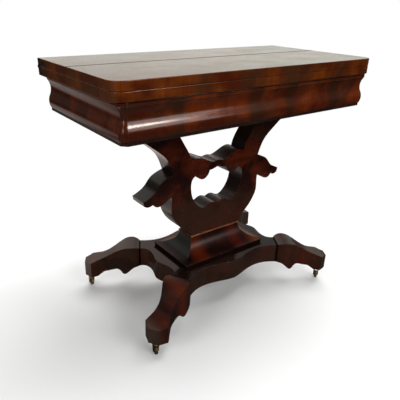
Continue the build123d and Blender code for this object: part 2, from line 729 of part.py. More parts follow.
def leg_dowels(degrees):
    """The two dowels of one leg, half in the platform and half in the leg."""
    middle = (platform_bottom + PLATFORM_TOP_HEIGHT) / 2
    lying = Rot(0, 90, 0) * Cylinder(DOWEL_RADIUS, DOWEL_LENGTH)
    return [
        Rot(0, 0, degrees) * Pos(PLATFORM_JOINT_REACH, 0, middle + way * DOWEL_SPACING / 2) * lying
        for way in (-1, 1)
    ]


def leg_body():
    """A leg along +X: the scrolled side outline, cut to a waisted plan with a canted toe."""
    run = LEG_REACH - PLATFORM_JOINT_REACH
    drop = PLATFORM_TOP_HEIGHT - CASTER_HEIGHT

    def placed(shares):
        return [(PLATFORM_JOINT_REACH + run * along, CASTER_HEIGHT + drop * up) for along, up in shares]

    top = placed(LEG_TOP_SHARES)
    under = [placed(part) for part in LEG_UNDERSIDE_SHARES]
    side = filled([
        Spline(*top),
        Polyline(top[-1], (LEG_REACH, CASTER_HEIGHT), under[0][0]),
        *[stretch(part) for part in under],
        Polyline(under[-1][-1], (PLATFORM_JOINT_REACH, platform_bottom), top[0]),
    ])
    joint = (PLATFORM_JOINT_REACH, PLATFORM_JOINT_WIDTH / 2)
    toe = (LEG_REACH, TOE_END_WIDTH / 2)
    flank = [
        (PLATFORM_JOINT_REACH + run * along, LEG_WIDTH / 2 * out) for along, out in LEG_FLANK_SHARES
    ]
    plan = filled(both_sides([
        Line((PLATFORM_JOINT_REACH, 0), joint),
        Spline(joint, *flank),
        Polyline(flank[-1], toe, (LEG_REACH, 0)),
    ], Plane.XZ))
    return extrude(Plane.XZ * side, LEG_WIDTH, both=True) & extrude(plan, TABLE_HEIGHT)


def caster_socket():
    """The brass plate screwed under a toe and the socket that goes up into it."""
    bottom = CASTER_HEIGHT - CASTER_PLATE_THICKNESS
    outside = PINTLE_RADIUS + RUNNING_GAP + SOCKET_WALL
    top = bottom + PINTLE_LENGTH + RUNNING_GAP + SOCKET_WALL
    body = rod(CASTER_PLATE_RADIUS, bottom, CASTER_HEIGHT) + rod(outside, bottom, top)
    bore = rod(PINTLE_RADIUS + RUNNING_GAP, bottom - CUT_OVERRUN, bottom + PINTLE_LENGTH + RUNNING_GAP)
    return body - bore


def caster_screws():
    """The screws up through a caster plate into the toe."""
    screw = Rot(180, 0, 0) * countersunk(
        CASTER_SCREW_RADIUS, CASTER_SCREW_HEAD_RADIUS, CASTER_SCREW_HEAD_HEIGHT, CASTER_SCREW_LENGTH
    )
    spots = PolarLocations(CASTER_SCREW_CIRCLE, CASTER_SCREW_COUNT)
    return [Pos(0, 0, CASTER_HEIGHT - CASTER_PLATE_THICKNESS) * spot * screw for spot in spots]


def across_caster(radius, width):
    """A round bar across the fork, on the wheel's centre."""
    return Pos(CASTER_TRAIL, 0, WHEEL_RADIUS) * Rot(90, 0, 0) * Cylinder(radius, width)


def caster_fork():
    """The brass fork, trailing along +X: crown and pintle above, an arm on each side of the wheel."""
    crown_top = CASTER_HEIGHT - CASTER_PLATE_THICKNESS - RUNNING_GAP
    crown_bottom = crown_top - FORK_CROWN_THICKNESS
    slot = WHEEL_WIDTH + 2 * FORK_SIDE_GAP
    outside = slot + 2 * FORK_ARM_THICKNESS
    half = FORK_ARM_WIDTH / 2
    crown = rod(FORK_CROWN_RADIUS, crown_bottom, crown_top)
    pintle = rod(PINTLE_RADIUS, crown_top, crown_top + PINTLE_LENGTH)
    front = Spline(
        (-half, crown_top), (-half, crown_bottom), (CASTER_TRAIL - half, WHEEL_RADIUS),
        tangents=[(0, -1), (0, -1)],
    )
    back = Spline(
        (CASTER_TRAIL + half, WHEEL_RADIUS), (FORK_CROWN_RADIUS, crown_bottom), (half, crown_top),
        tangents=[(0, 1), (-1, 1)],
    )
    foot = ThreePointArc(
        (CASTER_TRAIL - half, WHEEL_RADIUS), (CASTER_TRAIL, WHEEL_RADIUS - half),
        (CASTER_TRAIL + half, WHEEL_RADIUS),
    )
    side = filled([front, foot, back, Line((half, crown_top), (-half, crown_top))])
    arms = extrude(Plane.XZ * side, outside / 2, both=True)
    reach = CASTER_TRAIL + WHEEL_RADIUS + FORK_CROWN_RADIUS
    gap = block(-reach, reach, -slot / 2, slot / 2, 0, crown_bottom)
    axle_hole = across_caster(AXLE_RADIUS, outside + CUT_OVERRUN)
    return (arms - gap) + crown + pintle - axle_hole


def caster_wheel():
    """The turned wheel with a dished face round its hub."""
    rim = fillet(across_caster(WHEEL_RADIUS, WHEEL_WIDTH).edges().filter_by(GeomType.CIRCLE), WHEEL_ROUND)
    for way in (-1, 1):
        face = way * (WHEEL_WIDTH - HUB_DISH_DEPTH) / 2
        ring = across_caster(WHEEL_RADIUS - 2 * WHEEL_ROUND, HUB_DISH_DEPTH) - across_caster(
            HUB_RADIUS, HUB_DISH_DEPTH + CUT_OVERRUN
        )
        rim = rim - Pos(0, face, 0) * ring
    return rim - across_caster(AXLE_RADIUS + RUNNING_GAP, WHEEL_WIDTH + CUT_OVERRUN)


def build_base():
    """The platform, its four legs and their casters."""
    platform = Pos(0, 0, platform_bottom) * extrude(platform_plan(), PLATFORM_THICKNESS)
    for screw in plinth_screws():
        platform = platform - screw
    dowels, sockets, plate_screws = [], [], []
    for name, degrees in leg_turns().items():
        leg = Rot(0, 0, degrees) * leg_body()
        for dowel in leg_dowels(degrees):
            leg, platform = leg - dowel, platform - dowel
            dowels.append(dowel)
        place = Rot(0, 0, degrees) * Pos(caster_reach, 0, 0)
        socket = place * caster_socket()
        bore = rod(PINTLE_RADIUS + RUNNING_GAP, CASTER_HEIGHT, CASTER_HEIGHT + PINTLE_LENGTH)
        leg = leg - socket - place * bore
        for screw in caster_screws():
            leg, socket = leg - place * screw, socket - place * screw
            plate_screws.append(place * screw)
        sockets.append(socket)
        save(f"leg_{name}", leg)
        heading = Pos(*place.position) * Rot(0, 0, TRAIL_DEGREES[name])
        outside = WHEEL_WIDTH + 2 * FORK_SIDE_GAP + 2 * FORK_ARM_THICKNESS
        save(f"caster_fork_{name}", heading * caster_fork())
        save(f"caster_axle_{name}", heading * across_caster(AXLE_RADIUS, outside))
        save(f"caster_wheel_{name}", heading * caster_wheel())
    save("platform", platform)
    save("leg_dowels", *dowels)
    save("caster_sockets", *sockets)
    save("caster_plate_screws", *plate_screws)


def build_lyre():
    """The lyre, bored for the screws that hold the frame on its arms."""
    lyre = lyre_body()
    for side in (-1, 1):
        for screw in bearer_screws(side):
            lyre = lyre - screw
    save("lyre", lyre)


build_top()
build_mouldings()
build_frame()
build_lyre()
build_plinth()
build_base()
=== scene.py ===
import json
import math
from collections import namedtuple

import bmesh
import bpy
from mathutils import Matrix, Vector

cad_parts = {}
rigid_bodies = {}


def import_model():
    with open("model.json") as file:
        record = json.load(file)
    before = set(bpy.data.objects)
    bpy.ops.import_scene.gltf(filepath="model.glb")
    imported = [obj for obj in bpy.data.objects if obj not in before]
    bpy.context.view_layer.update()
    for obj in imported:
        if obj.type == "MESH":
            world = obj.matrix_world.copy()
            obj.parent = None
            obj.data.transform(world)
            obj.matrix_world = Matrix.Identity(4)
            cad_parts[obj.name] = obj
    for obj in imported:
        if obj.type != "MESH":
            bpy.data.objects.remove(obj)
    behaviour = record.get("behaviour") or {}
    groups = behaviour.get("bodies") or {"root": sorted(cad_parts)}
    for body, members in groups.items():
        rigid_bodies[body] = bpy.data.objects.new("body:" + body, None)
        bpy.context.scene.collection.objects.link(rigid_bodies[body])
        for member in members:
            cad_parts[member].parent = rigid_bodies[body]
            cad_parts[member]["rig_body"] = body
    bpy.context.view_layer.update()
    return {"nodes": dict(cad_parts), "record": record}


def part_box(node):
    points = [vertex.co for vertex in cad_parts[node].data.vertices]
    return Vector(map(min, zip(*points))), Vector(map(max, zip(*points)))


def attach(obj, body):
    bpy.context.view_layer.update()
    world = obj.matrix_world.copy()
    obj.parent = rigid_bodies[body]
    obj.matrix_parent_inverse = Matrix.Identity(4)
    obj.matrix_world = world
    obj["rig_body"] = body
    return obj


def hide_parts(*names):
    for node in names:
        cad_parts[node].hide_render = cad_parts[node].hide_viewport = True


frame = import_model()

# The photograph's camera, in metres, degrees and pixels of its 400 x 400 frame
CAMERA_PLACE = (-0.8233, -0.991, 0.8815)
CAMERA_YAW = 36.90
CAMERA_PITCH = 24.81
CAMERA_ROLL = 1.44
CAMERA_NEAREST = 0.01
FOCAL_PIXELS = 447.6
PHOTO_PIXELS = 400.0
PRINCIPAL_POINT = (190.0, 205.0)

# Colours of light and floor
WHITE = (1.0, 1.0, 1.0)
BLACK = (0.0, 0.0, 0.0)
WARM = (1.0, 0.87, 0.80)
DAYLIGHT = (0.955, 1.0, 0.92)
ROSY = (1.0, 0.80, 0.75)
STUDIO_DIM = (0.043, 0.045, 0.042)

# Floor, in metres: it is lit and shadowed round the table and goes over into the backdrop further out
FLOOR_HALF_SIZE = 14.0
SHADOW_CENTRE = (-0.45, -0.05, 0.0)
SHADOW_REACH = (0.7, 1.5)
# A painted shadow: the floor's colour is darker in a patch to the left of the table
FLOOR_SHADE_CENTRE = (-0.62, 0.10, 0.0)
FLOOR_SHADE_REACH = (0.14, 0.48)
FLOOR_PALE = (0.88, 0.88, 0.88)
FLOOR_SHADED = (0.75, 0.75, 0.75)
FLOOR_LIFT = (0.09, 0.09, 0.09)
FLOOR_MIRRORED_NEAR = (0.06, 0.06, 0.06)
FLOOR_MIRRORED_FAR = (0.015, 0.015, 0.015)

# Bright places of the floor, which the camera doesn't see and the polish mirrors, in metres
Glow = namedtuple("Glow", "centre reach strength")
FLOOR_GLOWS = (
    Glow(centre=(-0.7, 1.9, 0.0), reach=(0.45, 1.0), strength=0.42),
    Glow(centre=(0.05, 0.8, 0.0), reach=(0.25, 0.62), strength=0.9),
    Glow(centre=(-0.5, 0.5, 0.0), reach=(0.12, 0.42), strength=0.9),
)

# Screens round the studio, which the camera doesn't see and the polish mirrors: azimuth in degrees from
# +X, the cosines between which the sides fade, and the heights, as sines of the elevation, between which
# the top or the bottom fades
Screen = namedtuple("Screen", "azimuth sides strength tint fades")
SCREENS = (
    Screen(azimuth=58.0, sides=(0.84, 0.93), strength=1.16, tint=DAYLIGHT, fades=((0.22, 0.14),)),
    Screen(azimuth=68.0, sides=(0.88, 0.96), strength=0.70, tint=ROSY, fades=((0.68, 0.56),)),
    Screen(
        azimuth=90.0, sides=(0.82, 0.92), strength=0.72, tint=DAYLIGHT, fades=((0.74, 0.62), (0.37, 0.50))
    ),
    Screen(azimuth=74.0, sides=(0.95, 0.99), strength=0.5, tint=DAYLIGHT, fades=((0.55, 0.45),)),
    Screen(azimuth=30.0, sides=(0.80, 0.95), strength=0.40, tint=DAYLIGHT, fades=((0.60, 0.45),)),
)

# Rounding of the polished edges, in metres, and the angles that tell an edge from a curve and a flat
WIDE_ARRIS = 0.0012
FINE_ARRIS = 0.0006
CREASE_DEGREES = 32.0
WELD_DISTANCE = 1e-5
FLAT_DEGREES = 0.5

# Wood figure: cycles in a metre along and across the grain, and how far the grain sways, in metres
BEND_SCALE = (3, 5, 5)
FLAME_SCALE = (46, 9, 9)
BROAD_STREAK_SCALE = (1.6, 34, 34)
FINE_STREAK_SCALE = (7, 260, 260)
PORE_SCALE = (150, 1700, 1700)
POLISH_SCALE = (9, 14, 14)
WAVE_SCALE = (38, 52, 52)
GRAIN_SWAY = 0.03
PORE_DARKNESS = 0.45
SHADING_STRETCH = (0.7, 0.7, 0.7)
SHADING_SHIFT = (9.1, 3.7, 5.3)

# Shellac finish: the heights of its waves and pores are in metres
SHELLAC_IOR = 1.5
FULL_SHINE = 0.5
PLINTH_SHINE = 0.25
EBONISED_SHINE = 0.06
POLISH_LIMITS = (0.25, 0.75)
WORN_ROUGHNESS = 0.3
MATT_ROUGHNESS = 0.9
WAVE_HEIGHT = 0.0006
PORE_HEIGHT = 0.0004
PORE_RELIEF = 0.12
# Paler arrises: partly rubbed-through wear, partly a painted highlight along the edges
RUBBED_AND_HIGHLIGHT_LIMITS = (0.4, 0.62)
RUBBED_AND_HIGHLIGHT_STRENGTHS = (0.03, 0.4)
RUBBED_AND_HIGHLIGHT = (0.16, 0.085, 0.045)

# Tarnish of the metals: clouds in a metre, their limits in the noise, and the metal left in the dull ones
TARNISH_SCALE = (90, 90, 90)
TARNISH_LIMITS = (0.35, 0.7)
TARNISHED_METAL = 0.75

# Ways that a surface faces: the parts of its normal between which a colour sets in
FRONT_FACING = (-0.7, -0.5)
END_FACING = (0.6, 0.8)
FLAT_FACING = (0.8, 0.95)
TOPSIDE_FACING = (0.6, 0.9)
FLANK_FACING = (0.3, 0.5)

# Edges of the leaves: the middle and half the length of each olive patch along X, and depths from the
# leaf's back, in metres
EDGE_OLIVE_LENGTHS = ((-0.055, 0.04), (0.082, 0.03), (-0.205, 0.018), (0.27, 0.02))
EDGE_OLIVE_SOFTNESS = 0.026
EDGE_OLIVE_STRENGTH = 0.6
EDGE_OLIVE = (0.065, 0.027, 0.011)
EDGE_JOINT_LENGTH = 0.055
EDGE_JOINT_SHARES = (0.004, 0.012)
EDGE_JOINT_STRENGTH = 0.3
EDGE_JOINT_BROWN = (0.02, 0.006, 0.003)
# The ends of the leaves, facing along X, are greyed toward brown: a painted sheen
EDGE_END_SHEEN_STRENGTH = 0.45
EDGE_END_PAINTED_SHEEN = (0.085, 0.040, 0.022)
# Painted shade: the leaf edges go near black towards the leaf's back
EDGE_BACK_DEPTHS = (0.022, 0.014)
EDGE_BACK_SHADE_STRENGTH = 0.85
EDGE_BACK_PAINTED_SHADE = (0.008, 0.004, 0.003)

# The open board joint across the top: depths from the outer face, in metres
TOP_SPLIT_Y = 0.022
TOP_SPLIT_HALF_WIDTH = 0.0036
TOP_SPLIT_DEPTHS = (0.003, 0.002)
TOP_SPLIT_STRENGTH = 0.6
TOP_SPLIT_BROWN = (0.012, 0.005, 0.004)

# Frieze: the middle and half the length of each dark patch along X, and depths under the leaf of a painted
# shadow, in metres
FRIEZE_DARK_LENGTHS = ((-0.035, 0.024), (0.09, 0.02), (0.265, 0.024), (-0.265, 0.016))
FRIEZE_DARK_SOFTNESS = 0.012
FRIEZE_DARK_STRENGTH = 0.75
FRIEZE_DARK = (0.045, 0.015, 0.006)
# The frieze's ends, facing along X, are greyed toward brown: a painted sheen
FRIEZE_END_SHEEN_STRENGTH = 0.5
FRIEZE_END_PAINTED_SHEEN = (0.045, 0.020, 0.014)
UNDER_LEAF_SHADOW_DEPTHS = (0.004, 0.0015)
UNDER_LEAF_PAINTED_SHADOW = (0.003, 0.002, 0.002)

# Rubbed corners of the frieze: how fast the cant falls away from its middle, in metres per square metre
CANT_ROUNDING = 42.0

# Pedestal: the joints between legs and platform, painted black as the shade in their open gaps, and the
# heights between which the foot browns
JOINT_GAP_HALF_WIDTH = 0.0024
JOINT_GAP_FADE = 0.002
JOINT_PAINTED_SHADOW = (0.001, 0.001, 0.001)
FOOT_HEIGHTS = (0.24, 0.42)
FOOT_BROWN = (0.085, 0.031, 0.017)
# Painted shade for faces that look up or sideways, and a painted grey sheen for the plinth's sides
PAINTED_SHADE = (0.006, 0.002, 0.001)
PAINTED_GREY_SHEEN = (0.026, 0.030, 0.027)
PATCH_SOFTNESS = 0.02
PATCH_STRENGTH = 0.85

# Places on the object, read from the frame
leaf_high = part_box("leaf_upper")[1]
seat_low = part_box("leaf_lower")[0]
LEGS = ["leg_front_left", "leg_front_right", "leg_back_left", "leg_back_right"]
dowels_back_right = [v.co for v in frame["nodes"]["leg_dowels"].data.vertices if min(v.co.xy) > 0]
LEG_RUN = (sum(dowels_back_right, Vector()) / len(dowels_back_right)).xy.normalized()
LEG_JOINT_REACH = min(LEG_RUN.dot(v.co.xy) for v in frame["nodes"]["leg_back_right"].data.vertices)
LEG_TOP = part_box("leg_back_right")[1].z
LEG_DEGREES = math.degrees(math.atan2(LEG_RUN.y, LEG_RUN.x))
leg_toe_x, leg_joint_x = (corner.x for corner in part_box("leg_front_left"))
cant_low, cant_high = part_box("ogee_corner_right")
CANT_MIDDLE = (cant_low.x + cant_high.x + cant_low.y + cant_high.y) / 2
PLINTH_HALF_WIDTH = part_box("plinth")[1].x
OGEES = ["ogee_front", "ogee_left", "ogee_right", "ogee_corner_left", "ogee_corner_right"]

# Patches of figure: the middle and half the length of each along X, in metres, and its colour. The
# plinth's are written as shares of its half width
PLINTH_PATCHES = tuple(
    (middle * PLINTH_HALF_WIDTH, half * PLINTH_HALF_WIDTH, tint)
    for middle, half, tint in (
        (-0.56, 0.15, (0.12, 0.013, 0.002)),
        (0.42, 0.13, (0.09, 0.008, 0.004)),
        (0.85, 0.12, (0.16, 0.035, 0.010)),
    )
)
LEG_PATCHES = (
    (leg_joint_x - 0.048, 0.016, (0.12, 0.016, 0.003)),
    (leg_toe_x + 0.002, 0.015, (0.075, 0.050, 0.034)),
)


def photo_camera():
    """The camera that took the photograph."""
    yaw, pitch, roll = (math.radians(a) for a in (CAMERA_YAW, CAMERA_PITCH, CAMERA_ROLL))
    level = math.cos(pitch)
    ahead = Vector((math.sin(yaw) * level, math.cos(yaw) * level, -math.sin(pitch)))
    right = Vector((math.cos(yaw), -math.sin(yaw), 0))
    up = right.cross(ahead)
    tilted_right = math.cos(roll) * right + math.sin(roll) * up
    tilted_up = math.cos(roll) * up - math.sin(roll) * right
    data = bpy.data.cameras.new("photo_camera")
    data.lens = FOCAL_PIXELS / PHOTO_PIXELS * data.sensor_width
    data.shift_x = (PHOTO_PIXELS / 2 - PRINCIPAL_POINT[0]) / PHOTO_PIXELS
    data.shift_y = (PRINCIPAL_POINT[1] - PHOTO_PIXELS / 2) / PHOTO_PIXELS
    data.clip_start = CAMERA_NEAREST
    camera = bpy.data.objects.new("photo_camera", data)
    turn = Matrix((tilted_right, tilted_up, -ahead)).transposed().to_4x4()
    camera.matrix_world = Matrix.Translation(CAMERA_PLACE) @ turn
    bpy.context.scene.collection.objects.link(camera)
    bpy.context.scene.camera = camera


def lamp(name, place, target, size, power, color=WHITE, mirrored=True):
    """A soft box of the given width and height, aimed at a point: one that is mirrored shows only in
    the polish, and the others light only the colours."""
    data = bpy.data.lights.new(name, "AREA")
    data.shape = "RECTANGLE"
    data.size, data.size_y = size
    data.energy = power
    data.color = color
    box = bpy.data.objects.new(name, data)
    box.visible_glossy = mirrored
    box.visible_diffuse = not mirrored
    box.location = place
    box.rotation_mode = "QUATERNION"
    box.rotation_quaternion = (Vector(target) - Vector(place)).to_track_quat("-Z", "Y")
    bpy.context.scene.collection.objects.link(box)


class Nodes:
    """A node tree being wired. A value is a number, a vector, a colour or another node's output."""

    def __init__(self, tree):
        self.tree = tree

    def node(self, kind, settings=None, **inputs):
        """A new node with its settings and inputs."""
        made = self.tree.nodes.new(kind)
        for key, value in (settings or {}).items():
            setattr(made, key, value)
        for key, value in inputs.items():
            self.put(made, key.replace("_", " "), value)
        return made

    def put(self, made, name, value):
        """Sets an input, given by its name or its number, or joins an output to it."""
        socket = made.inputs[int(name)] if name.isdigit() else made.inputs[name]
        if isinstance(value, bpy.types.NodeSocket):
            self.tree.links.new(value, socket)
        else:
            socket.default_value = value

    def math(self, operation, *values):
        made = self.node("ShaderNodeMath", {"operation": operation})
        for index, value in enumerate(values):
            self.put(made, str(index), value)
        return made.outputs[0]

    def times(self, first, second):
        return self.math("MULTIPLY", first, second)

    def vector_math(self, operation, *values):
        made = self.node("ShaderNodeVectorMath", {"operation": operation})
        for index, value in enumerate(values):
            self.put(made, str(index), value)
        return made.outputs

    def stretched(self, vector, scale):
        return self.vector_math("MULTIPLY", vector, scale)[0]

    def distance(self, place, centre):
        return self.vector_math("DISTANCE", place, centre)["Value"]

    def parts(self, vector):
        """The X, Y and Z of a vector."""
        return self.node("ShaderNodeSeparateXYZ", Vector=vector).outputs

    def facing(self):
        """The X, Y and Z of the way that the surface faces."""
        return self.parts(self.node("ShaderNodeTexCoord").outputs["Normal"])

    def ramp(self, value, low, high, to_low=0.0, to_high=1.0, smooth=True):
        """Goes from one value to another between two limits."""
        kind = "SMOOTHSTEP" if smooth else "LINEAR"
        made = self.node("ShaderNodeMapRange", {"interpolation_type": kind})
        for name, number in (
            ("Value", value), ("From Min", low), ("From Max", high), ("To Min", to_low), ("To Max", to_high),
        ):
            self.put(made, name, number)
        return made.outputs[0]

    def mix(self, share, first, second, blend="MIX"):
        """Blends two colours; one that is the same all over is three numbers."""
        made = self.node("ShaderNodeMix", {"data_type": "RGBA", "blend_type": blend})
        self.put(made, "0", share)
        for index, color in (("6", first), ("7", second)):
            self.put(made, index, color if isinstance(color, bpy.types.NodeSocket) else (*color, 1))
        return made.outputs[2]

    def noise(self, vector, detail=3.0, roughness=0.5, distortion=0.0):
        made = self.node(
            "ShaderNodeTexNoise", Vector=vector, Scale=1.0, Detail=detail, Roughness=roughness,
            Distortion=distortion,
        )
        return made.outputs["Fac"]


def group(name, inputs, outputs):
    """An empty node group: (Nodes, its inputs' sockets, its output node)."""
    tree = bpy.data.node_groups.new(name, "ShaderNodeTree")
    for label, kind, value in inputs:
        socket = tree.interface.new_socket(label, in_out="INPUT", socket_type=kind)
        if value is not None:
            socket.default_value = value
    for label, kind in outputs:
        tree.interface.new_socket(label, in_out="OUTPUT", socket_type=kind)
    nodes = Nodes(tree)
    return nodes, nodes.node("NodeGroupInput").outputs, nodes.node("NodeGroupOutput")


def wood_figure_group():
    """Figured wood with its grain along X: colour, pore height, polish and hand-rubbed waves."""
    nodes, given, out = group(
        "wood_figure",
        [
            ("Vector", "NodeSocketVector", None),
            ("Light", "NodeSocketColor", (0.3, 0.1, 0.04, 1)),
            ("Dark", "NodeSocketColor", (0.05, 0.01, 0.005, 1)),
            ("Shade", "NodeSocketColor", (0.04, 0.02, 0.01, 1)),
            ("Flame", "NodeSocketFloat", 0.5),
            ("Streaks", "NodeSocketFloat", 0.5),
            ("Shading", "NodeSocketFloat", 0.5),
            ("Cloud Size", "NodeSocketFloat", 0.15),
        ],
        [
            ("Color", "NodeSocketColor"), ("Pores", "NodeSocketFloat"), ("Polish", "NodeSocketFloat"),
            ("Waves", "NodeSocketFloat"),
        ],
    )
    vector = given["Vector"]
    bend = nodes.noise(nodes.stretched(vector, BEND_SCALE), 2.0)
    sway = nodes.node("ShaderNodeCombineXYZ", Y=nodes.ramp(bend, 0, 1, -GRAIN_SWAY, GRAIN_SWAY, False))
    waved = nodes.vector_math("ADD", vector, sway.outputs[0])[0]
    clouds = nodes.node("ShaderNodeVectorMath", {"operation": "SCALE"})
    nodes.put(clouds, "0", waved)
    nodes.put(clouds, "Scale", nodes.math("DIVIDE", 1.0, given["Cloud Size"]))
    clouds = clouds.outputs[0]
    cloud = nodes.ramp(nodes.noise(clouds, 3.0, 0.55, 0.6), 0.36, 0.62)
    color = nodes.mix(cloud, given["Dark"], given["Light"])

    for scale, detail, roughness, distortion, low, high, depth, share in (
        (FLAME_SCALE, 3.0, 0.6, 0.8, 0.36, 0.6, 1.0, given["Flame"]),
        (BROAD_STREAK_SCALE, 4.0, 0.6, 0.0, 0.4, 0.6, 1.0, given["Streaks"]),
        (FINE_STREAK_SCALE, 4.0, 0.65, 0.0, 0.4, 0.62, 0.7, given["Streaks"]),
    ):
        pattern = nodes.noise(nodes.stretched(waved, scale), detail, roughness, distortion)
        darkened = nodes.times(nodes.ramp(pattern, low, high, depth, 0.0), share)
        color = nodes.mix(darkened, color, given["Dark"])

    moved = nodes.vector_math("MULTIPLY_ADD", clouds, SHADING_STRETCH, SHADING_SHIFT)[0]
    shaded = nodes.ramp(nodes.noise(moved, 2.0, 0.5, 0.3), 0.5, 0.6)
    color = nodes.mix(nodes.times(shaded, given["Shading"]), color, given["Shade"])
    pores = nodes.ramp(nodes.noise(nodes.stretched(vector, PORE_SCALE), 2.0, 0.5), 0.62, 0.7)
    color = nodes.mix(nodes.times(pores, PORE_DARKNESS), color, given["Dark"])
    nodes.put(out, "Color", color)
    nodes.put(out, "Pores", pores)
    nodes.put(out, "Polish", nodes.noise(nodes.stretched(vector, POLISH_SCALE), 4.0, 0.6))
    nodes.put(out, "Waves", nodes.noise(nodes.stretched(vector, WAVE_SCALE), 2.0, 0.5))
    return nodes.tree


WOOD_FIGURE = wood_figure_group()


def material(name):
    """A new material: (the material, its Nodes, its Principled shader)."""
    made = bpy.data.materials.new(name)
    made.use_nodes = True
    nodes = Nodes(made.node_tree)
    shader = next(n for n in made.node_tree.nodes if n.type == "BSDF_PRINCIPLED")
    return made, nodes, shader


def object_place(nodes, turn=(0, 0, 0)):
    """Object coordinates, as they are and turned so that the grain runs along X."""
    place = nodes.node("ShaderNodeTexCoord").outputs["Object"]
    turned = nodes.node("ShaderNodeMapping", {"vector_type": "TEXTURE"}, Vector=place)
    turned.inputs["Rotation"].default_value = [math.radians(a) for a in turn]
    return place, turned.outputs[0]


def figured(nodes, vector, light, dark, shade, flame, streaks, shading, cloud):
    """The wood figure with its own colours and proportions."""
    made = nodes.node("ShaderNodeGroup", {"node_tree": WOOD_FIGURE}, Vector=vector)
    for name, value in (
        ("Light", (*light, 1)), ("Dark", (*dark, 1)), ("Shade", (*shade, 1)), ("Flame", flame),
        ("Streaks", streaks), ("Shading", shading), ("Cloud Size", cloud),
    ):
        nodes.put(made, name, value)
    return made.outputs


def french_polish(nodes, shader, figure, color, rough, ripple=0.25, matt=0.0, shine=FULL_SHINE):
    """Wires a colour under a hand-rubbed shellac finish, rubbed through on the arrises, where the paler
    colour is partly wear and partly a painted highlight.
    """
    worn_and_highlighted = nodes.node("ShaderNodeAttribute", {"attribute_name": "wear_and_highlight"}).outputs["Fac"]
    # Paler arrises: partly rubbed-through wear, partly a painted highlight
    patchy = nodes.ramp(figure["Polish"], *RUBBED_AND_HIGHLIGHT_LIMITS, *RUBBED_AND_HIGHLIGHT_STRENGTHS)
    nodes.put(shader, "Base Color", nodes.mix(nodes.times(worn_and_highlighted, patchy), color, RUBBED_AND_HIGHLIGHT))
    polished = nodes.ramp(figure["Polish"], *POLISH_LIMITS, *rough)
    dulled = nodes.math("MAXIMUM", nodes.times(worn_and_highlighted, WORN_ROUGHNESS), matt)
    nodes.put(shader, "Roughness", nodes.math("MAXIMUM", polished, dulled))
    shader.inputs["IOR"].default_value = SHELLAC_IOR
    shader.inputs["Specular IOR Level"].default_value = shine
    waves = nodes.node("ShaderNodeBump", Strength=ripple, Distance=WAVE_HEIGHT, Height=figure["Waves"])
    pores = nodes.node(
        "ShaderNodeBump", {"invert": True}, Strength=PORE_RELIEF, Distance=PORE_HEIGHT, Height=figure["Pores"]
    )
    nodes.put(pores, "Normal", waves.outputs[0])
    nodes.put(shader, "Normal", pores.outputs[0])


def lengths(nodes, along, places, soft):
    """A mask for lengths of veneer, each given by the middle and half its length along one coordinate."""
    mask = 0.0
    for middle, half in places:
        away = nodes.math("ABSOLUTE", nodes.math("SUBTRACT", along, middle))
        mask = nodes.math("MAXIMUM", nodes.ramp(away, half - soft, half + soft, 1.0, 0.0), mask)
    return mask


def thin_line(nodes, along, place, half_width):
    """A mask for a line across one coordinate, with soft sides."""
    away = nodes.math("ABSOLUTE", nodes.math("SUBTRACT", along, place))
    return nodes.ramp(away, half_width * 0.5, half_width * 1.5, 1.0, 0.0)


def veneer_joints(nodes, parts, length):
    """A mask for the joints between short lengths of veneer laid end to end along X and Y."""
    along = nodes.math("DIVIDE", nodes.math("ADD", parts["X"], parts["Y"]), length)
    settings = {"voronoi_dimensions": "1D", "feature": "DISTANCE_TO_EDGE"}
    joint = nodes.node("ShaderNodeTexVoronoi", settings, W=along, Scale=1.0)
    return nodes.ramp(joint.outputs["Distance"], *EDGE_JOINT_SHARES, 1.0, 0.0)


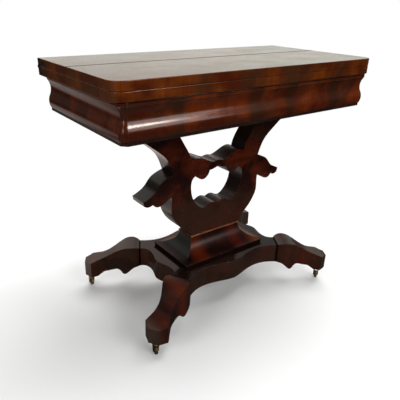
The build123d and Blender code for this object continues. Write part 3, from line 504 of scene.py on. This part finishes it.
def top_mahogany():
    """The leaves: long grain on the faces, cross-grained veneer round the edges, one open board joint, a
    painted sheen on the ends and painted shade at the back of the edges.
    """
    made, nodes, shader = material("top_mahogany")
    place, along = object_place(nodes)
    upright = object_place(nodes, (0, 90, 0))[1]
    parts = nodes.parts(place)
    facing = nodes.facing()

    face = figured(
        nodes, along, light=(0.125, 0.058, 0.024), dark=(0.058, 0.026, 0.012), shade=(0.10, 0.035, 0.014),
        flame=0.12, streaks=0.6, shading=0.45, cloud=0.3,
    )
    outside = nodes.ramp(parts["Z"], *(leaf_high.z - depth for depth in TOP_SPLIT_DEPTHS))
    split = nodes.times(thin_line(nodes, parts["Y"], TOP_SPLIT_Y, TOP_SPLIT_HALF_WIDTH), outside)
    face_color = nodes.mix(nodes.times(split, TOP_SPLIT_STRENGTH), face["Color"], TOP_SPLIT_BROWN)

    edge = figured(
        nodes, upright, light=(0.27, 0.060, 0.007), dark=(0.10, 0.016, 0.003), shade=(0.07, 0.025, 0.008),
        flame=0.45, streaks=0.35, shading=0.6, cloud=0.07,
    )
    front = nodes.ramp(facing["Y"], *FRONT_FACING, 1.0, 0.0)
    olive = nodes.times(front, lengths(nodes, parts["X"], EDGE_OLIVE_LENGTHS, EDGE_OLIVE_SOFTNESS))
    edge_color = nodes.mix(nodes.times(olive, EDGE_OLIVE_STRENGTH), edge["Color"], EDGE_OLIVE)
    joints = veneer_joints(nodes, parts, EDGE_JOINT_LENGTH)
    edge_color = nodes.mix(nodes.times(joints, EDGE_JOINT_STRENGTH), edge_color, EDGE_JOINT_BROWN)
    # Painted sheen: the ends, facing along X, are greyed toward brown
    end_sheen = nodes.ramp(nodes.math("ABSOLUTE", facing["X"]), *END_FACING, 0.0, EDGE_END_SHEEN_STRENGTH)
    edge_color = nodes.mix(end_sheen, edge_color, EDGE_END_PAINTED_SHEEN)
    # Painted shade: the edges go near black towards the back
    back_limits = (leaf_high.y - depth for depth in EDGE_BACK_DEPTHS)
    back = nodes.ramp(parts["Y"], *back_limits, 0.0, EDGE_BACK_SHADE_STRENGTH)
    edge_color = nodes.mix(back, edge_color, EDGE_BACK_PAINTED_SHADE)

    flat = nodes.ramp(nodes.math("ABSOLUTE", facing["Z"]), *FLAT_FACING)
    color = nodes.mix(flat, edge_color, face_color)
    matt = nodes.times(split, MATT_ROUGHNESS)
    french_polish(nodes, shader, face, color, (0.17, 0.21), ripple=0.05, matt=matt)
    return made


def frieze_mahogany(name):
    """The ogee mouldings: cross-grained veneer with darker lengths in it, a painted sheen on the ends and a
    painted shadow under the leaf.
    """
    made, nodes, shader = material(name)
    place, along = object_place(nodes, (0, 90, 0))
    parts = nodes.parts(place)
    facing = nodes.facing()
    figure = figured(
        nodes, along, light=(0.25, 0.042, 0.006), dark=(0.085, 0.013, 0.004), shade=(0.058, 0.022, 0.011),
        flame=0.45, streaks=0.3, shading=0.5, cloud=0.09,
    )
    front = nodes.ramp(facing["Y"], *FRONT_FACING, 1.0, 0.0)
    dark = nodes.times(front, lengths(nodes, parts["X"], FRIEZE_DARK_LENGTHS, FRIEZE_DARK_SOFTNESS))
    color = nodes.mix(nodes.times(dark, FRIEZE_DARK_STRENGTH), figure["Color"], FRIEZE_DARK)
    # Painted sheen: the ends, facing along X, are greyed toward brown
    end_sheen = nodes.ramp(nodes.math("ABSOLUTE", facing["X"]), *END_FACING, 0.0, FRIEZE_END_SHEEN_STRENGTH)
    color = nodes.mix(end_sheen, color, FRIEZE_END_PAINTED_SHEEN)
    # Painted shadow: the top of the frieze goes black just under the leaf's overhang
    under_leaf_shadow = nodes.ramp(parts["Z"], *(seat_low.z - depth for depth in UNDER_LEAF_SHADOW_DEPTHS))
    color = nodes.mix(under_leaf_shadow, color, UNDER_LEAF_PAINTED_SHADOW)
    french_polish(nodes, shader, figure, color, (0.11, 0.2))
    return made


def frieze_corner_mahogany(name):
    """The frieze's finish with its canted corners rubbed round."""
    made = frieze_mahogany(name)
    nodes = Nodes(made.node_tree)
    shader = next(n for n in made.node_tree.nodes if n.type == "BSDF_PRINCIPLED")
    parts = nodes.parts(object_place(nodes)[0])
    along_both = nodes.math("ADD", nodes.math("ABSOLUTE", parts["X"]), parts["Y"])
    across = nodes.times(nodes.math("SUBTRACT", along_both, CANT_MIDDLE), math.sqrt(0.5))
    height = nodes.times(nodes.math("POWER", across, 2.0), -CANT_ROUNDING)
    polished = shader.inputs["Normal"].links[0].from_socket
    rounded = nodes.node("ShaderNodeBump", Strength=1.0, Distance=1.0, Height=height)
    nodes.put(rounded, "Normal", polished)
    nodes.put(shader, "Normal", rounded.outputs[0])
    return made


def joint_dirt(nodes, parts):
    """A mask for the joints between the legs and the platform, below the legs' tops, where the shade in their
    open gaps is painted.
    """
    reach = nodes.math(
        "ADD", nodes.times(nodes.math("ABSOLUTE", parts["X"]), LEG_RUN.x),
        nodes.times(nodes.math("ABSOLUTE", parts["Y"]), LEG_RUN.y),
    )
    line = thin_line(nodes, reach, LEG_JOINT_REACH, JOINT_GAP_HALF_WIDTH)
    return nodes.times(line, nodes.ramp(parts["Z"], LEG_TOP, LEG_TOP + JOINT_GAP_FADE, 1.0, 0.0))


def base_mahogany(
    name, turn, light, dark, shade, flame, streaks, shading, cloud, rough, topside=0.0, sides=0.0, foot=0.0,
    patches=(), painted_tint=PAINTED_SHADE, shine=FULL_SHINE,
):
    """Wood of the pedestal: painted shade on top or at the sides, a painted grey sheen instead where the tint
    is grey, browner at its foot, painted shadow in the open gaps of the leg joints.
    """
    made, nodes, shader = material(name)
    place, along = object_place(nodes, turn)
    parts = nodes.parts(place)
    facing = nodes.facing()
    figure = figured(nodes, along, light, dark, shade, flame, streaks, shading, cloud)
    color = figure["Color"]
    for middle, half, tint in patches:
        patch = lengths(nodes, parts["X"], ((middle, half),), PATCH_SOFTNESS)
        color = nodes.mix(nodes.times(patch, PATCH_STRENGTH), color, tint)
    # Painted shade on faces that look up or to the sides; the plinth's grey tint there is a painted sheen
    upward = nodes.ramp(facing["Z"], *TOPSIDE_FACING, 0.0, topside)
    sideways = nodes.ramp(nodes.math("ABSOLUTE", facing["X"]), *FLANK_FACING, 0.0, sides)
    color = nodes.mix(nodes.math("MAXIMUM", upward, sideways), color, painted_tint)
    color = nodes.mix(nodes.ramp(parts["Z"], *FOOT_HEIGHTS, foot, 0.0), color, FOOT_BROWN)
    shadow_gap = joint_dirt(nodes, parts)
    color = nodes.mix(shadow_gap, color, JOINT_PAINTED_SHADOW)
    french_polish(nodes, shader, figure, color, rough, matt=nodes.times(shadow_gap, MATT_ROUGHNESS), shine=shine)
    # As a black metal the painted shadow gap mirrors nothing, as an open hole would
    nodes.put(shader, "Metallic", shadow_gap)
    return made


def plain_wood(name, light, dark, flame, streaks, cloud, rough, shine=FULL_SHINE):
    """Wood with its grain along X and one run of figure in it."""
    made, nodes, shader = material(name)
    along = object_place(nodes)[1]
    figure = figured(
        nodes, along, light, dark, shade=dark, flame=flame, streaks=streaks, shading=0.3, cloud=cloud
    )
    french_polish(nodes, shader, figure, figure["Color"], rough, shine=shine)
    return made


def aged_metal(name, bright, dull, rough):
    """Old metal: bright where it is handled, dull in clouds."""
    made, nodes, shader = material(name)
    place = object_place(nodes)[0]
    cloud = nodes.ramp(nodes.noise(nodes.stretched(place, TARNISH_SCALE), 5.0, 0.65), *TARNISH_LIMITS)
    nodes.put(shader, "Base Color", nodes.mix(cloud, bright, dull))
    nodes.put(shader, "Roughness", nodes.ramp(cloud, 0, 1, *rough))
    nodes.put(shader, "Metallic", nodes.ramp(cloud, 0, 1, 1.0, TARNISHED_METAL))
    return made


def dress(piece, made):
    """Gives a piece its one material."""
    piece.data.materials.clear()
    piece.data.materials.append(made)


def softened(node, width, made):
    """A copy of a CAD node with its sharp edges rounded and marked for wear and a painted highlight, which
    stands for the node.
    """
    source = frame["nodes"][node]
    mesh = bmesh.new()
    mesh.from_mesh(source.data)
    bmesh.ops.remove_doubles(mesh, verts=mesh.verts, dist=WELD_DISTANCE)
    flat = math.radians(FLAT_DEGREES)
    bmesh.ops.dissolve_limit(mesh, angle_limit=flat, verts=mesh.verts, edges=mesh.edges)
    crease = math.radians(CREASE_DEGREES)
    for edge in mesh.edges:
        edge.smooth = len(edge.link_faces) == 2 and edge.calc_face_angle(0) < crease
    wear_and_highlight = mesh.faces.layers.float.new("wear_and_highlight")
    sharp = [edge for edge in mesh.edges if not edge.smooth]
    rounded = bmesh.ops.bevel(
        mesh, geom=sharp, offset=width, segments=2, profile=0.5, affect="EDGES", clamp_overlap=True,
        material=-1,
    )
    arrises = set(rounded["faces"])
    for face in mesh.faces:
        face.smooth = True
        face[wear_and_highlight] = 1.0 if face in arrises else 0.0
    for edge in mesh.edges:
        edge.smooth = len(arrises.intersection(edge.link_faces)) != 1 and edge.smooth
    data = bpy.data.meshes.new(node + "_softened")
    mesh.to_mesh(data)
    mesh.free()
    piece = bpy.data.objects.new(node + "_softened", data)
    bpy.context.scene.collection.objects.link(piece)
    dress(piece, made)
    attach(piece, source["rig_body"])
    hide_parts(node)


def floor_finish():
    """A pale floor that keeps the table's shadow and goes over into the white backdrop."""
    made, nodes, shader = material("floor")
    place = object_place(nodes)[0]
    seen = nodes.node("ShaderNodeLightPath").outputs["Is Camera Ray"]
    from_below = nodes.times(seen, nodes.node("ShaderNodeNewGeometry").outputs["Backfacing"])
    nodes.put(shader, "Alpha", nodes.math("SUBTRACT", 1.0, from_below))

    away = nodes.ramp(nodes.distance(place, SHADOW_CENTRE), *SHADOW_REACH)
    # Painted shadow: a darker patch of the floor's colour to the left of the table
    shade = nodes.ramp(nodes.distance(place, FLOOR_SHADE_CENTRE), *FLOOR_SHADE_REACH, 1.0, 0.0)
    lit = nodes.mix(away, nodes.mix(shade, FLOOR_PALE, FLOOR_SHADED), BLACK)
    mirrored = nodes.mix(away, FLOOR_MIRRORED_NEAR, FLOOR_MIRRORED_FAR)
    nodes.put(shader, "Base Color", nodes.mix(seen, mirrored, lit))

    glow = 0.0
    for spot in FLOOR_GLOWS:
        near, far = spot.reach
        bright = nodes.ramp(nodes.distance(place, spot.centre), near, far, spot.strength, 0.0)
        glow = nodes.math("MAXIMUM", bright, glow)
    lifted = nodes.mix(away, FLOOR_LIFT, WHITE)
    nodes.put(shader, "Emission Color", nodes.mix(seen, nodes.mix(glow, BLACK, WARM), lifted))
    shader.inputs["Emission Strength"].default_value = 1.0
    shader.inputs["Roughness"].default_value = 1.0
    shader.inputs["Specular IOR Level"].default_value = 0.0
    return made


def studio_screens(nodes, direction):
    """What the polish mirrors: bright screens behind and beside the table, and a dim studio elsewhere."""
    parts = nodes.parts(direction)
    level = nodes.node("ShaderNodeCombineXYZ", X=parts["X"], Y=parts["Y"]).outputs[0]
    level = nodes.vector_math("NORMALIZE", level)[0]
    glow = STUDIO_DIM
    for screen in SCREENS:
        azimuth = math.radians(screen.azimuth)
        toward = nodes.vector_math("DOT_PRODUCT", level, (math.cos(azimuth), math.sin(azimuth), 0))["Value"]
        mask = nodes.ramp(toward, *screen.sides)
        for low, high in screen.fades:
            mask = nodes.times(mask, nodes.ramp(parts["Z"], low, high))
        lit = nodes.mix(mask, BLACK, tuple(screen.strength * value for value in screen.tint))
        glow = nodes.mix(1.0, glow, lit, "LIGHTEN")
    return glow


def floor():
    """The floor under the casters."""
    mesh = bmesh.new()
    bmesh.ops.create_grid(mesh, x_segments=1, y_segments=1, size=FLOOR_HALF_SIZE)
    data = bpy.data.meshes.new("floor")
    mesh.to_mesh(data)
    mesh.free()
    piece = bpy.data.objects.new("floor", data)
    bpy.context.scene.collection.objects.link(piece)
    dress(piece, floor_finish())


def world():
    """White where the camera looks, and the studio's screens for everything else."""
    made = bpy.data.worlds.new("studio")
    made.use_nodes = True
    bpy.context.scene.world = made
    nodes = Nodes(made.node_tree)
    background = next(n for n in made.node_tree.nodes if n.type == "BACKGROUND")
    seen = nodes.node("ShaderNodeLightPath").outputs["Is Camera Ray"]
    screens = studio_screens(nodes, nodes.node("ShaderNodeTexCoord").outputs["Generated"])
    nodes.put(background, "Color", nodes.mix(seen, screens, WHITE))
    background.inputs["Strength"].default_value = 1.0


def lamps():
    """Three soft boxes that light the table, and three that its polish mirrors; metres and watts."""
    lamp("overhead", (0.95, 0.5, 4.3), target=(0, 0, 0), size=(3.8, 3.8), power=228, mirrored=False)
    lamp("fill_front", (0.3, -3.0, 2.1), target=(0, 0, 0.45), size=(1.8, 1.2), power=46, mirrored=False)
    lamp("fill_left", (-3.2, -0.6, 1.5), target=(0, 0, 0.45), size=(1.4, 1.4), power=36, mirrored=False)
    lamp("window", (1.0, -2.70, 2.14), target=(-0.3, -0.2, 0.63), size=(1.1, 0.32), power=44, color=WARM)
    lamp("curtain", (1.2, -2.65, 1.42), target=(-0.2, -0.2, 0.63), size=(1.1, 1.0), power=13, color=WARM)
    lamp(
        "left_window", (-2.96, -1.56, 1.35), target=(-0.4, -0.2, 0.63), size=(0.3, 1.3), power=18, color=WARM
    )


photo_camera()
floor()
world()
lamps()
bpy.context.scene.view_settings.view_transform = "Standard"

TOP = top_mahogany()
FRIEZE = frieze_mahogany("frieze_mahogany")
FRIEZE_CORNER = frieze_corner_mahogany("frieze_corner_mahogany")
LYRE = base_mahogany(
    "lyre_mahogany", turn=(0, 90, 0), light=(0.15, 0.021, 0.005), dark=(0.018, 0.0025, 0.001),
    shade=(0.045, 0.018, 0.009), flame=0.5, streaks=0.25, shading=0.7, cloud=0.09, rough=(0.2, 0.3),
    topside=0.88, sides=0.88, foot=0.3,
)
PLINTH = base_mahogany(
    "plinth_mahogany", turn=(0, 0, 0), light=(0.06, 0.010, 0.003), dark=(0.006, 0.001, 0.001),
    shade=(0.006, 0.003, 0.002), flame=0.6, streaks=0.4, shading=0.85, cloud=0.05, rough=(0.3, 0.4),
    sides=0.9, patches=PLINTH_PATCHES, painted_tint=PAINTED_GREY_SHEEN, shine=PLINTH_SHINE,
)
# The bead's light golden colour is a painted highlight along it; its sides get painted shade
BEAD_PAINTED_HIGHLIGHT = base_mahogany(
    "bead_painted_highlight", turn=(0, 0, 0), light=(0.45, 0.17, 0.07), dark=(0.26, 0.08, 0.03),
    shade=(0.20, 0.09, 0.045), flame=0.3, streaks=0.3, shading=0.4, cloud=0.08, rough=(0.14, 0.2),
    sides=0.85,
)
PLATFORM = base_mahogany(
    "platform_mahogany", turn=(0, 0, 0), light=(0.085, 0.027, 0.015), dark=(0.034, 0.013, 0.008),
    shade=(0.042, 0.024, 0.015), flame=0.35, streaks=0.35, shading=0.5, cloud=0.09, rough=(0.09, 0.16),
    topside=0.85,
)
RISING_LEG = base_mahogany(
    "leg_mahogany_rising", turn=(0, 0, LEG_DEGREES), light=(0.075, 0.010, 0.003), dark=(0.012, 0.002, 0.001),
    shade=(0.026, 0.013, 0.009), flame=0.45, streaks=0.35, shading=0.6, cloud=0.075, rough=(0.42, 0.52),
    topside=0.1, patches=LEG_PATCHES,
)
FALLING_LEG = base_mahogany(
    "leg_mahogany_falling", turn=(0, 0, -LEG_DEGREES), light=(0.07, 0.022, 0.012), dark=(0.026, 0.011, 0.007),
    shade=(0.034, 0.020, 0.013), flame=0.45, streaks=0.35, shading=0.6, cloud=0.075, rough=(0.15, 0.26),
    topside=0.3,
)
RUDDY_LEG = base_mahogany(
    "leg_mahogany_ruddy", turn=(0, 0, -LEG_DEGREES), light=(0.12, 0.020, 0.007), dark=(0.045, 0.012, 0.005),
    shade=(0.040, 0.020, 0.011), flame=0.45, streaks=0.35, shading=0.5, cloud=0.075, rough=(0.15, 0.26),
    topside=0.5,
)
PALE_LEG = base_mahogany(
    "leg_mahogany_pale", turn=(0, 0, LEG_DEGREES), light=(0.12, 0.045, 0.022), dark=(0.06, 0.025, 0.013),
    shade=(0.06, 0.035, 0.02), flame=0.45, streaks=0.35, shading=0.6, cloud=0.075, rough=(0.15, 0.26),
)
STRIP = plain_wood(
    "strip_mahogany", light=(0.05, 0.018, 0.009), dark=(0.02, 0.007, 0.004), flame=0.3, streaks=0.5,
    cloud=0.1, rough=(0.25, 0.4),
)
EBONISED = plain_wood(
    "ebonised_strip", light=(0.014, 0.006, 0.004), dark=(0.004, 0.002, 0.001), flame=0.2, streaks=0.6,
    cloud=0.1, rough=(0.5, 0.65), shine=EBONISED_SHINE,
)
PINE = plain_wood(
    "old_pine", light=(0.46, 0.25, 0.11), dark=(0.24, 0.11, 0.04), flame=0.05, streaks=0.6, cloud=0.3,
    rough=(0.6, 0.75),
)
BRASS = aged_metal("aged_brass", bright=(0.40, 0.27, 0.11), dull=(0.11, 0.075, 0.035), rough=(0.28, 0.55))
HINGE_BRASS = aged_metal(
    "darkened_brass", bright=(0.22, 0.16, 0.09), dull=(0.07, 0.05, 0.035), rough=(0.4, 0.65)
)
IRON = aged_metal("dull_iron", bright=(0.30, 0.29, 0.28), dull=(0.12, 0.10, 0.09), rough=(0.35, 0.6))

# Every CAD node by its slot, then the nodes with a finish of their own
finishes = {
    "mahogany_top": TOP, "mahogany_frieze": FRIEZE, "mahogany_lyre": LYRE, "mahogany_base": PLATFORM,
    "ebonised": EBONISED, "secondary_wood": PINE, "brass": BRASS, "steel": IRON,
}
for subpart in frame["record"]["subparts"]:
    dress(frame["nodes"][subpart["node"]], finishes[subpart["material_slot"]])
    if "hinge" in subpart["node"]:
        dress(frame["nodes"][subpart["node"]], HINGE_BRASS)
dress(frame["nodes"]["frieze_strips"], STRIP)

# Show pieces with rounded arrises
softened("platform", WIDE_ARRIS, PLATFORM)
for node, finish in zip(LEGS, (RISING_LEG, RUDDY_LEG, FALLING_LEG, PALE_LEG)):
    softened(node, WIDE_ARRIS, finish)
softened("lyre", WIDE_ARRIS, LYRE)
softened("plinth", FINE_ARRIS, PLINTH)
softened("plinth_bead", FINE_ARRIS, BEAD_PAINTED_HIGHLIGHT)
softened("plinth_base", FINE_ARRIS, EBONISED)
for node in OGEES:
    softened(node, FINE_ARRIS, FRIEZE_CORNER if "corner" in node else FRIEZE)
